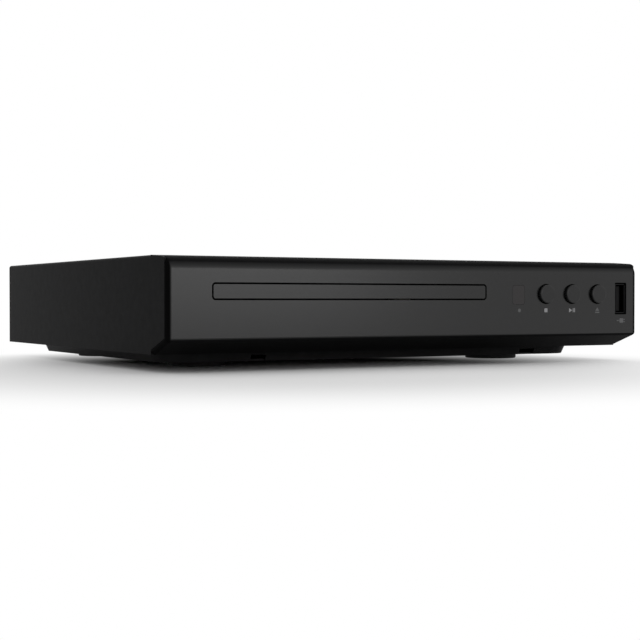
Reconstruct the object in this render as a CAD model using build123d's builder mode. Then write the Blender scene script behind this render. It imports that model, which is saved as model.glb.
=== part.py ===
from build123d import *
import os
from math import atan2, cos, degrees, hypot, pi, radians, sin, tan

# A disc player, in millimetres: +X to the right, +Y to the back, +Z up.
# The origin lies on the floor, under the middle of the whole outline.

# Case
pan_depth = 4.05
rear_room = 14.0
roof_room = 2.75
foot_height = 2.6
cover_sheet = 0.8
cover_bend = 1.2
chassis_sheet = 0.8
panel_sheet = 0.8

# Fits that several pieces share
seam = 0.2
clearance = 0.3
running_fit = 0.06
overrun = 2.0

# Front profile, seen from the side
nose_depth = 14.9
front_drop = 0.95
nose_radius = 4.8
bevel_height = 5.3
edge_radius = 1.6
fascia_wall = 2.2
fascia_lip_depth = 4.5
fascia_lip_thickness = 1.6

# Screws with pan heads and cross recesses
screw_head_radius = 2.6
screw_head_height = 1.5
screw_shank_radius = 1.4
screw_length = 5.0
short_screw_length = 3.6
screw_gap = 0.1
cross_length = 2.8
cross_width = 0.7
cross_depth = 0.8
cover_lip_height = 8.0
cover_screw_spread = 88.0

# Bottom pan and feet
pan_side_inset = 12.0
pan_front_inset = 30.3
pan_rear_inset = 15.2
pan_lean = 24.0
pan_corner = 12.0
side_flange_height = 12.0
wall_notch_height = 2.6
narrow_notch_width = 7.0
wide_notch_width = 8.5
wall_notch_shares = (-0.602, 0.736)
vent_length = 22.0
vent_width = 2.5
vent_pitch = 6.0
vent_count = 7
foot_radius = 12.0
foot_edge = 0.6
foot_spread = 76.6
front_foot_inset = 58.3
rear_foot_inset = 30.0

# Tray door and the opening it fills
door_overhang = 1.1
door_height = 5.4
door_thickness = 2.6
door_left_margin = 19.3
door_middle_height = 24.15
door_gap = 0.7
door_corner = 0.8

# Disc tray
disc_radius = 60.0
disc_gap = 0.6
disc_inset = 80.0
tray_side = 2.0
tray_thickness = 5.0
tray_setback = 13.4
tray_rail = 4.0
tray_front_rim = 4.0
tray_floor = 1.4
tray_travel = 128.0
tray_corner = 3.0
recess_depth = 1.9
small_disc_radius = 40.0
small_recess_depth = 0.5
hub_opening_radius = 20.0
pickup_slot_width = 38.0
pickup_slot_reach = 63.5
finger_radius = 11.0

# Buttons, remote-control window and USB slot
button_radius = 4.0
button_hole_radius = 4.4
button_proud = 1.6
button_edge = 0.5
button_flange_radius = 5.4
button_flange = 1.0
button_stem_radius = 1.5
button_travel = 0.6
button_pitch = 14.5
button_right_margin = 22.94
button_height = 23.45
window_width = 6.4
window_height = 8.2
window_corner = 1.2
window_pitch = 14.9
window_rise = -0.45
window_gap = 0.1
window_flange = 1.0
usb_slot_width = 6.75
usb_slot_height = 14.3
usb_slot_corner = 0.5
usb_right_margin = 9.25
usb_middle_height = 21.5
usb_shell_width = 5.7
usb_shell_height = 13.1
usb_shell_wall = 0.35
usb_shell_length = 13.4
usb_shell_inset = 0.6
usb_tongue_thickness = 1.84
usb_tongue_height = 11.1
usb_tongue_inset = 2.0
usb_tongue_offset = 0.6
usb_back_block = 3.0

# Front board behind the buttons
front_board_inset = 9.0
front_board_thickness = 1.6
front_board_left_margin = 7.0
front_board_right_margin = 3.6
front_board_bottom_gap = 6.0
front_board_top_gap = 5.6
board_slot_gap = 0.15
board_boss_radius = 2.6
board_boss_edge = 3.4
board_boss_gap = 0.7
switch_size = 6.0
switch_body = 3.5
switch_plunger_radius = 1.75
switch_plunger = 0.5
switch_corner = 0.5
receiver_width = 5.4
receiver_height = 6.6
receiver_depth = 3.2
receiver_dome_radius = 2.2
receiver_dome_height = 1.0
receiver_dome_taper = 24.0
led_radius = 1.5
led_length = 4.0
led_drop = 7.0

# Loader frame, which carries the tray
loader_inset = 20.0
loader_side_gap = 4.0
loader_wall = 2.0
loader_tail = 15.0
loader_boss = 1.2
loader_boss_radius = 4.0
ledge_thickness = 1.5
ledge_overlap = 2.5
keeper_thickness = 1.4
keeper_length = 10.0
keeper_overlap = 1.5
keeper_shares = (0.08, 0.45, 0.82)
deck_thickness = 1.6
deck_drop = 11.0
loader_tab_length = 12.0
loader_tab_width = 10.0
loader_tab_thickness = 2.0

# Clamp above the tray
bridge_thickness = 1.8
bridge_depth = 40.0
bridge_rise = 4.2
bridge_ring_radius = 24.0
bridge_hole_radius = 7.0
puck_radius = 15.0
puck_disc = 1.2
puck_hub_radius = 6.0
puck_flange_radius = 9.5
puck_flange = 1.2
puck_recess_radius = 8.0
puck_recess = 0.6

# Teeth, as shares of the pitch and of the module
addendum_share = 0.9
dedendum_share = 1.15
tip_half_share = 0.11
root_half_share = 0.3

# Tray drive
rack_module = 1.0
rack_inset = 12.0
rack_overlap = 10.0
tray_gear_teeth = 16
drive_module = 0.8
wheel_teeth = 36
pinion_teeth = 12
gear_inset = 34.5
gear_mesh_height = 1.2
wheel_height = 2.4
wheel_rise = 3.4
post_radius = 1.5
hub_radius = 5.0
pulley_height = 2.6
pulley_rise = 0.5
pulley_flange = 0.5
pulley_radius = 13.0
groove_depth = 1.0
motor_pulley_radius = 3.0
pulley_distance = 42.0
belt_thickness = 0.9
belt_height = 1.2
belt_gap = 0.1
load_motor_radius = 10.0
load_motor_height = 9.0
load_motor_edge = 0.5
load_motor_boss_radius = 3.0
motor_shaft_radius = 1.0
motor_shaft_reach = 1.6
motor_shaft_end_gap = 1.6

# Traverse that carries spindle and pickup, hinged at its back and lowered at its front
lift_angle = 4.4
hinge_drop = 8.0
hinge_pin_radius = 2.0
hinge_pin_length = 5.0
bearing_width = 5.0
bearing_half_depth = 5.0
bearing_gap = 0.5
ring_gap = 3.8
ring_bar = 4.0
ring_front_reach = 25.5
ring_back_reach = 4.0
ring_front_bar = 7.0
ring_back_bar = 14.0
ring_bottom = -2.0
ring_height = 3.0
grommet_radius = 3.4
grommet_height = 2.0
grommet_inset = 5.0
plate_thickness = 1.0
plate_inset = 2.0
plate_slot_half_width = 8.0
plate_slot_front_margin = 3.0
plate_slot_back_margin = 7.0

# Cam slider that lifts the front of the traverse
slider_thickness = 2.5
slider_gap = 1.0
cam_travel = 18.0
cam_pin_radius = 1.5
cam_pin_spread = 24.0
cam_pin_height = -0.5
cam_clearance = 0.4
cam_margin = 1.6
slider_ledge = 1.5

# Spindle
spindle_motor_radius = 12.0
spindle_motor_height = 7.0
spindle_shaft_radius = 1.0
turntable_radius = 16.0
turntable_thickness = 2.0
turntable_rise = 6.2
turntable_hub_radius = 6.0
turntable_hub_gap = 0.6
pad_outer_radius = 15.5
pad_inner_radius = 11.5
pad_height = 0.5
cone_base_radius = 7.3
cone_tip_radius = 5.4
cone_height = 1.9

# Pickup sled and its drive
rod_radius = 1.5
rod_spread = 18.5
rod_drop = 4.5
rod_front_margin = 6.0
rod_back_margin = 7.0
rod_gap = 1.0
rod_holder_width = 6.0
rod_holder_length = 4.0
sled_travel = 32.0
lens_radius_inner = 24.0
sled_half_width = 22.0
sled_bottom = -5.0
sled_top = 1.5
sled_front_reach = 9.0
sled_back_reach = 14.0
tower_half = 7.0
tower_top = 7.2
lens_holder_radius = 5.0
lens_holder_top = 8.4
lens_dome_radius = 2.4
lens_dome_height = 0.6
lens_dome_edge = 0.45
sled_rack_module = 0.6
sled_gear_teeth = 14
sled_wheel_module = 0.5
sled_wheel_teeth = 36
sled_pinion_teeth = 10
sled_gear_setback = 24.0
sled_rack_offset = 13.0
sled_rack_height = 1.2
sled_rack_top = 7.2
sled_wheel_gap = 0.3
sled_post_radius = 1.0
sled_motor_radius = 5.5
sled_motor_height = 10.0
sled_shaft_radius = 0.75

# Boards in the right-hand bay
board_thickness = 1.6
board_boss = 5.6
bay_gap = 3.0
board_inset = 52.0
power_board_margin = 1.5
board_gap = 2.0
board_hole_edge = 3.6
chip_size = 20.0
chip_height = 1.6
memory_length = 14.0
memory_width = 8.0
memory_height = 1.2
chip_reach = 40.0
memory_gap = 6.0
sink_height = 9.0
sink_base = 2.0
fin_count = 7
fin_thickness = 1.2
connector_length = 16.0
connector_width = 5.0
connector_height = 6.0
connector_gap = 10.0
transformer_length = 24.0
transformer_width = 20.0
transformer_height = 17.0
transformer_step = 2.0
transformer_core_share = 0.45
transformer_reach = 70.0
capacitor_radius = 7.0
capacitor_height = 22.0
capacitor_pitch = 17.0
capacitor_count = 3
capacitor_reach = 12.0
capacitor_rim = 0.8
ribbon_width = 12.0
ribbon_thickness = 0.4
ribbon_bend = 4.0
ribbon_rise = 6.0

# Rear sockets
jack_length = 8.0
jack_radius = 4.15
jack_wall = 0.8
jack_fit = 0.05
jack_pitch = 14.0
jack_bore_radius = 1.65
jack_inset = 1.2
jack_housing_depth = 10.0
jack_housing_margin = 0.8
jack_hole_gap = 0.3
hdmi_width = 15.2
hdmi_height = 5.8
hdmi_wall = 0.4
hdmi_length = 11.0
hdmi_proud = 0.6
hdmi_chamfer = 1.6
hdmi_gap = 0.3
hdmi_tongue_width = 10.6
hdmi_tongue_thickness = 1.0
hdmi_tongue_inset = 1.0
hdmi_back_block = 2.0
inlet_width = 21.0
inlet_height = 14.0
inlet_depth = 17.0
inlet_proud = 1.0
inlet_opening_width = 15.8
inlet_opening_height = 8.6
inlet_opening_depth = 10.5
inlet_pin_radius = 1.2
inlet_pin_pitch = 8.6
inlet_pin_inset = 1.5
inlet_gap = 0.3
rear_vent_height = 16.0
rear_vent_width = 2.6
rear_vent_pitch = 6.0
rear_vent_count = 14
rear_vent_left_margin = 16.0
rear_vent_height_middle = 20.0

# Sizes that follow from what they hold
tray_width = 2 * (disc_radius + tray_side)
door_width = tray_width + 2 * door_overhang
loader_half = tray_width / 2 + loader_side_gap + loader_wall
loader_inner = loader_half - loader_wall
jack_housing_width = 2 * (jack_pitch + jack_housing_margin)
power_board_width = inlet_width + 2 * power_board_margin
main_board_width = jack_housing_width + board_gap + hdmi_width
bay_width = bay_gap + main_board_width + board_gap + power_board_width + board_gap
side_wall = cover_sheet + seam + chassis_sheet
width = door_left_margin + door_width / 2 + loader_half + bay_width + side_wall
clamp_height = bridge_rise + 2 * bridge_thickness
body_height = door_middle_height + tray_thickness / 2 + clamp_height + roof_room + cover_sheet
rod_back = ring_back_bar - ring_back_reach + rod_gap
lens_reach = rod_back + rod_back_margin + sled_back_reach + sled_travel
hinge_reach = lens_reach + lens_radius_inner
rod_front = lens_reach + sled_front_reach + rod_front_margin
rod_length = rod_front - rod_back
plate_slot_front = lens_reach + tower_half + plate_slot_front_margin
plate_slot_back = lens_reach - sled_travel - tower_half - plate_slot_back_margin
sled_gear_reach = lens_reach - sled_gear_setback
sled_gear_radius = sled_rack_module * sled_gear_teeth / 2
sled_wheel_radius = sled_wheel_module * sled_wheel_teeth / 2
sled_pinion_radius = sled_wheel_module * sled_pinion_teeth / 2
sled_gear_u = sled_rack_offset + sled_gear_radius
sled_motor_u = sled_gear_u + sled_wheel_radius + sled_pinion_radius
ring_half_width = sled_motor_u + sled_motor_radius + ring_gap + ring_bar
loader_end = disc_inset + hinge_reach + bearing_half_depth + loader_tail
loader_length = loader_end - loader_inset
tray_length = loader_end - tray_setback - door_thickness
depth = loader_end + rear_room

# Places worked out from the sizes above
jack_reach = jack_length - cover_sheet
front_y = button_proud - (button_proud + depth + jack_reach) / 2
rear_y = front_y + depth
nose_y = front_y + nose_depth
side_x = width / 2
inner_x = side_x - cover_sheet - seam
pan_z = foot_height
body_z = pan_z + pan_depth
top_z = body_z + body_height
bevel_z = body_z + bevel_height
plate_z = body_z + chassis_sheet
pan_floor_z = pan_z + chassis_sheet
panel_y = rear_y - cover_sheet
panel_inner_y = panel_y - panel_sheet
screw_hole_radius = screw_shank_radius + screw_gap
cover_inner_z = top_z - cover_sheet

loader_x = door_left_margin + door_width / 2 - side_x
door_z = body_z + door_middle_height
tray_z = door_z - tray_thickness / 2
tray_top_z = tray_z + tray_thickness
tray_front_y = front_y + door_thickness
tray_back_y = tray_front_y + tray_length
spindle_y = front_y + disc_inset
floor_bottom_z = tray_top_z - recess_depth - tray_floor

button_z = body_z + button_height
button_x = [side_x - button_right_margin - step * button_pitch for step in (2, 1, 0)]
window_x = button_x[0] - window_pitch
window_z = button_z + window_rise
usb_x = side_x - usb_right_margin
usb_z = body_z + usb_middle_height
fascia_inner_y = front_y + fascia_wall
front_board_y = front_y + front_board_inset
front_board_back_y = front_board_y + front_board_thickness
board_left_x = loader_x + door_width / 2 + front_board_left_margin
board_right_x = side_x - front_board_right_margin
board_low_z = body_z + front_board_bottom_gap
board_high_z = top_z - front_board_top_gap

loader_front_y = front_y + loader_inset
loader_back_y = loader_front_y + loader_length
loader_z = plate_z + loader_boss
bridge_z = tray_top_z + bridge_rise
deck_z = floor_bottom_z - deck_drop

gear_radius = rack_module * tray_gear_teeth / 2
wheel_radius = drive_module * wheel_teeth / 2
pinion_radius = drive_module * pinion_teeth / 2
rack_x = loader_x + tray_width / 2 - rack_inset
gear_x = rack_x - gear_radius
gear_y = front_y + gear_inset
pulley_x = gear_x - wheel_radius - pinion_radius
motor_x = pulley_x - pulley_distance
pulley_z = deck_z + pulley_rise
wheel_z = deck_z + wheel_rise
mesh_top_z = floor_bottom_z - clearance
mesh_z = mesh_top_z - gear_mesh_height
post_top_z = mesh_top_z - clearance

tilt = radians(lift_angle)
hinge_y = spindle_y + hinge_reach
hinge_z = floor_bottom_z - hinge_drop
deck = Plane(origin=(loader_x, hinge_y, hinge_z), x_dir=(1, 0, 0), z_dir=(0, -sin(tilt), cos(tilt)))
ring_front = hinge_reach + ring_front_reach
ring_top = ring_bottom + ring_height
plate_bottom = ring_top + grommet_height
plate_top = plate_bottom + plate_thickness
turntable_top = plate_top + turntable_rise
rod_height = plate_bottom - rod_drop
sled_rack_bottom = sled_rack_top - sled_rack_height
sled_wheel_bottom = plate_top + sled_wheel_gap
sled_wheel_top = sled_rack_bottom - sled_wheel_gap

slider_back_y = hinge_y - ring_front - slider_gap
slider_front_y = slider_back_y - slider_thickness
slider_reach = hinge_y - (slider_front_y + slider_back_y) / 2
pin_low_z = hinge_z + cam_pin_height * cos(tilt) - slider_reach * sin(tilt)
pin_high_z = hinge_z + cam_pin_height
slot_half_width = cam_pin_radius + cam_clearance
slider_low_z = pin_low_z - slot_half_width - cam_margin
slider_high_z = pin_high_z + slot_half_width + cam_margin
bay_wall_y = slider_front_y - clearance

bay_left_x = loader_x + loader_half + bay_gap
main_right_x = bay_left_x + main_board_width
power_left_x = main_right_x + board_gap
bay_right_x = power_left_x + power_board_width
board_z = pan_floor_z + board_boss
board_top_z = board_z + board_thickness
boards_front_y = front_y + board_inset
boards_back_y = panel_inner_y - board_gap
jack_right_x = bay_left_x + jack_housing_width
jack_x = bay_left_x + jack_housing_margin + jack_pitch / 2
jack_places = [(jack_x + column * jack_pitch, board_top_z + (row + 0.5) * jack_pitch)
               for row in (0, 1) for column in (0, 1)]
hdmi_x = jack_right_x + board_gap + hdmi_width / 2
hdmi_z = board_top_z + hdmi_height / 2
inlet_x = (power_left_x + bay_right_x) / 2
inlet_z = board_top_z + inlet_height / 2


def level(z):
    """A plane that lies flat at a height."""
    return Plane.XY.offset(z)


def upright(y):
    """A plane that stands across the case and faces the front."""
    return Plane.XZ.offset(-y)


def facing_back(y):
    """A plane that stands across the case and faces the back, so its first axis is -X."""
    return Plane(origin=(0, y, 0), x_dir=(-1, 0, 0), z_dir=(0, 1, 0))


def flank(x):
    """A plane that stands along the case and faces the right."""
    return Plane.YZ.offset(x)


def deck_spot(u, v, w):
    """A plane parallel to the lowered traverse: u across, v forwards from its hinge, w above it."""
    return Plane(origin=deck.from_local_coords((u, -v, w)), x_dir=deck.x_dir, z_dir=deck.z_dir)


def block(x_span, y_span, z_span, mode=Mode.ADD):
    """A box between two limits along each axis, in the part being built."""
    spans = (x_span, y_span, z_span)
    with Locations(tuple((low + high) / 2 for low, high in spans)):
        Box(*[high - low for low, high in spans], mode=mode)


def gear_outline(teeth, module, turn):
    """Corners of a gear whose first tooth points along the angle turn."""
    pitch = 2 * pi / teeth
    tip = module * (teeth / 2 + addendum_share)
    root = module * (teeth / 2 - dedendum_share)
    tooth = ((root, -root_half_share), (tip, -tip_half_share),
             (tip, tip_half_share), (root, root_half_share))
    corners = []
    for index in range(teeth):
        for radius, share in tooth:
            angle = turn + (index + share) * pitch
            corners.append((radius * cos(angle), radius * sin(angle)))
    return corners


def rack_outline(pitch_x, back_x, module, low_y, high_y, gap_y):
    """Corners of a straight rack with a gap between two teeth at gap_y, and its back at back_x."""
    pitch = pi * module
    side = 1 if back_x > pitch_x else -1
    tip = pitch_x - side * module * addendum_share
    root = pitch_x + side * module * dedendum_share
    tooth = ((root, -root_half_share), (tip, -tip_half_share),
             (tip, tip_half_share), (root, root_half_share))
    first = -int((gap_y - low_y) / pitch)
    last = int((high_y - gap_y) / pitch)
    corners = [(back_x, gap_y + first * pitch)]
    for index in range(first, last):
        for x, share in tooth:
            corners.append((x, gap_y + (index + 0.5 + share) * pitch))
    corners.append((back_x, gap_y + last * pitch))
    return corners


def front_corners():
    """Corners of the fascia's outline, seen from the side."""
    return ((nose_y, top_z), (front_y, top_z - front_drop), (front_y, bevel_z), (nose_y, body_z))


def cheek_corners(inset):
    """Corners of what lies behind the fascia's front face and bevel by an inset, seen from the side."""
    slant = hypot(nose_depth, bevel_height) / nose_depth
    low_front_z = bevel_z + inset * (slant - bevel_height / nose_depth)
    front = front_y + inset
    return ((nose_y, top_z), (front, top_z), (front, low_front_z), (nose_y, body_z + inset * slant))


def save(builder, label):
    """Name a finished piece and write it."""
    builder.part.label = label
    export_step(builder.part, f"parts/{label}.step")


def screws(label, plane, places, length):
    """A group of pan-head screws whose heads sit on a plane."""
    with BuildPart() as group:
        with BuildSketch(plane):
            with Locations(*places):
                Circle(screw_head_radius)
        extrude(amount=screw_head_height)
        fillet(group.edges().group_by(Axis(plane.origin, plane.z_dir))[-1], screw_head_height / 2)
        with BuildSketch(plane):
            with Locations(*places):
                Circle(screw_shank_radius)
        extrude(amount=-length)
        with BuildSketch(plane.offset(screw_head_height)):
            with Locations(*places):
                Rectangle(cross_length, cross_width)
                Rectangle(cross_width, cross_length)
        extrude(amount=-cross_depth, mode=Mode.SUBTRACT)
    save(group, label)


os.makedirs("parts", exist_ok=True)

# Top cover: roof and sides bent from one sheet, with cheeks that run forward beside the fascia
cover_screw_z = top_z - cover_lip_height / 2
cover_screw_places = [(place * cover_screw_spread, cover_screw_z) for place in (-1, 0, 1)]
with BuildPart() as top_cover:
    with BuildSketch(upright(rear_y)) as hoop:
        with Locations((0, body_z)):
            Rectangle(width, body_height, align=(Align.CENTER, Align.MIN))
        fillet(hoop.vertices().group_by(Axis.Y)[-1], cover_bend)
        with Locations((0, body_z)):
            Rectangle(width - 2 * cover_sheet, body_height - cover_sheet,
                      align=(Align.CENTER, Align.MIN), mode=Mode.SUBTRACT)
    extrude(amount=depth - nose_depth - seam)
    cheek = cheek_corners(edge_radius + seam)
    for x in (-side_x, side_x - cover_sheet):
        with BuildSketch(flank(x)) as cheek_face:
            with BuildLine():
                Polyline(*front_corners(), close=True)
            make_face()
            fillet(cheek_face.vertices().sort_by_distance((front_y, top_z))[0], nose_radius)
            with BuildLine():
                Polyline(*cheek, close=True)
            make_face(mode=Mode.INTERSECT)
            with BuildLine():
                Polyline(cheek[0], cheek[-1], (nose_y + seam, cheek[-1][1]), (nose_y + seam, top_z),
                         close=True)
            make_face()
        extrude(amount=cover_sheet)
    block((-inner_x, inner_x), (panel_y, rear_y), (top_z - cover_lip_height, cover_inner_z))
    with BuildSketch(upright(rear_y)):
        with Locations(*cover_screw_places):
            Circle(screw_hole_radius)
    extrude(amount=cover_sheet, mode=Mode.SUBTRACT)
save(top_cover, "top_cover")

# Bottom chassis: a flat rim with a pan pressed below it, side flanges, bosses and vents
lean = tan(radians(pan_lean))
wall_step = chassis_sheet * lean - chassis_sheet / cos(radians(pan_lean))
pan_half = side_x - pan_side_inset
pan_front_y = front_y + pan_front_inset
pan_back_y = rear_y - pan_rear_inset
pan_middle_y = (pan_front_y + pan_back_y) / 2
pan_levels = ((pan_z, 0), (body_z, pan_depth * lean))
hollow_levels = ((pan_floor_z, wall_step), (plate_z, wall_step + pan_depth * lean))
tab_front_y = loader_front_y + loader_tab_length / 2
tab_back_y = loader_back_y - loader_tab_length / 2
loader_screw_places = [(loader_x + side * (loader_inner - loader_tab_width / 2), y)
                       for side in (-1, 1) for y in (tab_front_y, tab_back_y)]
board_screw_places = [(x, y) for x in (bay_left_x + board_hole_edge, bay_right_x - board_hole_edge)
                      for y in (boards_front_y + board_hole_edge, boards_back_y - jack_housing_depth * 2)]
board_screw_places += [(main_right_x - board_hole_edge, boards_front_y + board_hole_edge),
                       (power_left_x + board_hole_edge, boards_front_y + board_hole_edge)]
with BuildPart() as chassis_base:
    block((-inner_x, inner_x), (nose_y + seam, panel_y), (body_z, plate_z))
    for z, flare in pan_levels:
        with BuildSketch(level(z)):
            with Locations((0, pan_middle_y)):
                RectangleRounded(2 * (pan_half + flare), pan_back_y - pan_front_y + 2 * flare,
                                 pan_corner + flare)
    loft()
    for z, flare in hollow_levels:
        with BuildSketch(level(z)):
            with Locations((0, pan_middle_y)):
                RectangleRounded(2 * (pan_half + flare), pan_back_y - pan_front_y + 2 * flare,
                                 pan_corner + flare)
    loft(mode=Mode.SUBTRACT)
    flange_front_y = nose_y + fascia_lip_depth + seam
    for x_span in ((-inner_x, chassis_sheet - inner_x), (inner_x - chassis_sheet, inner_x)):
        block(x_span, (flange_front_y, panel_inner_y - seam), (body_z, body_z + side_flange_height))
    for places, boss_radius, boss_top_z in ((loader_screw_places, loader_boss_radius, loader_z),
                                            (board_screw_places, board_boss_radius, board_z)):
        for x, y in places:
            over_pan = abs(x) < pan_half and pan_front_y < y < pan_back_y
            boss_z = pan_floor_z if over_pan else plate_z
            with BuildSketch(level(boss_z)):
                with Locations((x, y)):
                    Circle(boss_radius)
            extrude(amount=boss_top_z - boss_z)
    with BuildSketch(level(board_z + overrun)):
        with Locations(*loader_screw_places, *board_screw_places):
            Circle(screw_hole_radius)
    extrude(amount=-(board_z + overrun + overrun), mode=Mode.SUBTRACT)
    for share, notch_width in zip(wall_notch_shares, (narrow_notch_width, wide_notch_width)):
        notch_x = share * pan_half
        block((notch_x - notch_width / 2, notch_x + notch_width / 2),
              (pan_front_y - overrun, pan_front_y + chassis_sheet),
              (0, pan_z + wall_notch_height), mode=Mode.SUBTRACT)
    with BuildSketch(level(0)):
        vent_x = pan_half - pan_corner - vent_length / 2
        with Locations((vent_x, pan_middle_y), (loader_x, pan_middle_y)):
            with GridLocations(vent_length, vent_pitch, 1, vent_count):
                SlotOverall(vent_length, vent_width)
    extrude(amount=plate_z, mode=Mode.SUBTRACT)
save(chassis_base, "chassis_base")

# Rubber feet under the pan
with BuildPart() as rubber_feet:
    with BuildSketch(level(0)):
        with Locations(*[(side * foot_spread, y) for side in (-1, 1)
                         for y in (front_y + front_foot_inset, rear_y - rear_foot_inset)]):
            Circle(foot_radius)
    extrude(amount=foot_height)
    fillet(rubber_feet.edges().group_by(Axis.Z)[0], foot_edge)
save(rubber_feet, "rubber_feet")

# Front fascia: one hollow moulding with openings for the door, buttons, window and USB socket
board_boss_right_x = usb_x - usb_shell_width / 2 - board_boss_gap - board_boss_radius
board_boss_places = [(x, z) for x in (board_left_x + board_boss_edge, board_boss_right_x)
                     for z in (board_low_z + board_boss_edge, board_high_z - board_boss_edge)]
with BuildPart() as front_fascia:
    with BuildSketch(flank(-side_x)) as profile:
        with BuildLine():
            Polyline(*front_corners(), close=True)
        make_face()
        fillet(profile.vertices().sort_by_distance((front_y, top_z))[0], nose_radius)
    extrude(amount=width)
    end_edges = front_fascia.faces().filter_by(Axis.X).edges()
    end_edges = end_edges.filter_by_position(Axis.Y, front_y, nose_y - seam)
    low_edge = front_fascia.edges().filter_by(Axis.X).sort_by_distance((0, front_y, bevel_z))[0]
    fillet([*end_edges, low_edge], edge_radius)
    with BuildSketch(flank(fascia_wall - inner_x)):
        with BuildLine():
            Polyline(*front_corners(), close=True)
        make_face()
        offset(amount=-fascia_wall, kind=Kind.INTERSECTION, mode=Mode.REPLACE)
        with BuildLine():
            back_low_z = body_z + fascia_wall + fascia_lip_thickness
            back_high_z = top_z - fascia_wall - fascia_lip_thickness
            Polyline((nose_y - 2 * fascia_wall, back_low_z), (nose_y, back_low_z),
                     (nose_y, back_high_z), (nose_y - 2 * fascia_wall, back_high_z), close=True)
        make_face()
    extrude(amount=2 * (inner_x - fascia_wall), mode=Mode.SUBTRACT)
    for x in (-side_x, inner_x):
        with BuildSketch(flank(x)):
            with BuildLine():
                Polyline(*cheek_corners(edge_radius), close=True)
            make_face()
        extrude(amount=side_x - inner_x, mode=Mode.SUBTRACT)
    for low_z in (plate_z, cover_inner_z - fascia_lip_thickness):
        block((-inner_x, inner_x), (nose_y - fascia_wall, nose_y + fascia_lip_depth),
              (low_z, low_z + fascia_lip_thickness))
    with BuildSketch(upright(front_y)):
        with Locations((loader_x, door_z)):
            RectangleRounded(door_width + 2 * door_gap, door_height + 2 * door_gap, door_corner + door_gap)
        with Locations((window_x, window_z)):
            RectangleRounded(window_width + 2 * window_gap, window_height + 2 * window_gap,
                             window_corner + window_gap)
        with Locations(*[(x, button_z) for x in button_x]):
            Circle(button_hole_radius)
        with Locations((usb_x, usb_z)):
            RectangleRounded(usb_slot_width, usb_slot_height, usb_slot_corner)
    extrude(amount=-fascia_wall, mode=Mode.SUBTRACT)
    with BuildSketch(upright(fascia_inner_y)):
        with Locations(*board_boss_places):
            Circle(board_boss_radius)
    extrude(amount=fascia_inner_y - front_board_y)
    with BuildSketch(upright(front_board_y)):
        with Locations(*board_boss_places):
            Circle(screw_hole_radius)
    extrude(amount=screw_length, mode=Mode.SUBTRACT)
save(front_fascia, "front_fascia")

# Remote-control window, flush in the fascia and held by a flange behind it
with BuildPart() as ir_window:
    with BuildSketch(upright(front_y)):
        with Locations((window_x, window_z)):
            RectangleRounded(window_width, window_height, window_corner)
    extrude(amount=-fascia_wall)
    with BuildSketch(upright(fascia_inner_y)):
        with Locations((window_x, window_z)):
            RectangleRounded(window_width + 2 * window_flange, window_height + 2 * window_flange,
                             window_corner + window_flange)
    extrude(amount=-window_flange)
save(ir_window, "ir_window")

# Buttons: a cap through the fascia, a flange that keeps it in and a stem towards its switch
switch_front_y = front_board_y - switch_body
stem_end_y = switch_front_y - switch_plunger - button_travel - clearance
for label, x in zip(("stop_button", "play_button", "open_button"), button_x):
    with BuildPart() as button:
        with BuildSketch(upright(front_y - button_proud)):
            with Locations((x, button_z)):
                Circle(button_radius)
        extrude(amount=-(button_proud + fascia_wall + clearance))
        fillet(button.edges().group_by(Axis.Y)[0], button_edge)
        with BuildSketch(upright(fascia_inner_y + clearance)):
            with Locations((x, button_z)):
                Circle(button_flange_radius)
        extrude(amount=-button_flange)
        with BuildSketch(upright(fascia_inner_y + clearance + button_flange)):
            with Locations((x, button_z)):
                Circle(button_stem_radius)
        extrude(amount=fascia_inner_y + clearance + button_flange - stem_end_y)
    save(button, label)

# Front board with its switches, receiver and lamp
with BuildPart() as front_board:
    block((board_left_x, board_right_x), (front_board_y, front_board_back_y), (board_low_z, board_high_z))
    with BuildSketch(upright(front_board_back_y)):
        with Locations(*board_boss_places):
            Circle(screw_hole_radius)
        with Locations((usb_x, usb_z)):
            Rectangle(usb_shell_width + 2 * board_slot_gap, usb_shell_height + 2 * board_slot_gap)
    extrude(amount=front_board_thickness, mode=Mode.SUBTRACT)
save(front_board, "front_board")

with BuildPart() as tact_switches:
    with BuildSketch(upright(front_board_y)):
        with Locations(*[(x, button_z) for x in button_x]):
            RectangleRounded(switch_size, switch_size, switch_corner)
    extrude(amount=switch_body)
    with BuildSketch(upright(switch_front_y)):
        with Locations(*[(x, button_z) for x in button_x]):
            Circle(switch_plunger_radius)
    extrude(amount=switch_plunger)
save(tact_switches, "tact_switches")

with BuildPart() as ir_receiver:
    with BuildSketch(upright(front_board_y)):
        with Locations((window_x, window_z)):
            Rectangle(receiver_width, receiver_height)
    extrude(amount=receiver_depth)
    with BuildSketch(upright(front_board_y - receiver_depth)):
        with Locations((window_x, window_z)):
            Circle(receiver_dome_radius)
    extrude(amount=receiver_dome_height, taper=receiver_dome_taper)
save(ir_receiver, "ir_receiver")

with BuildPart() as status_lamp:
    with BuildSketch(upright(front_board_y)):
        with Locations((window_x, window_z - led_drop)):
            Circle(led_radius)
    extrude(amount=led_length)
    fillet(status_lamp.edges().group_by(Axis.Y)[0], led_radius / 2)
save(status_lamp, "status_lamp")

back_places = [(-x, z) for x, z in board_boss_places]
screws("front_board_screws", facing_back(front_board_back_y), back_places, screw_length)

# USB socket, upright, through a slot of the front board
usb_front_y = front_y + usb_shell_inset
usb_back_y = usb_front_y + usb_shell_length
with BuildPart() as usb_shell:
    with BuildSketch(upright(usb_front_y)):
        with Locations((usb_x, usb_z)):
            RectangleRounded(usb_shell_width, usb_shell_height, usb_shell_wall * 2)
            Rectangle(usb_shell_width - 2 * usb_shell_wall, usb_shell_height - 2 * usb_shell_wall,
                      mode=Mode.SUBTRACT)
    extrude(amount=-usb_shell_length)
save(usb_shell, "usb_shell")

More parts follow.
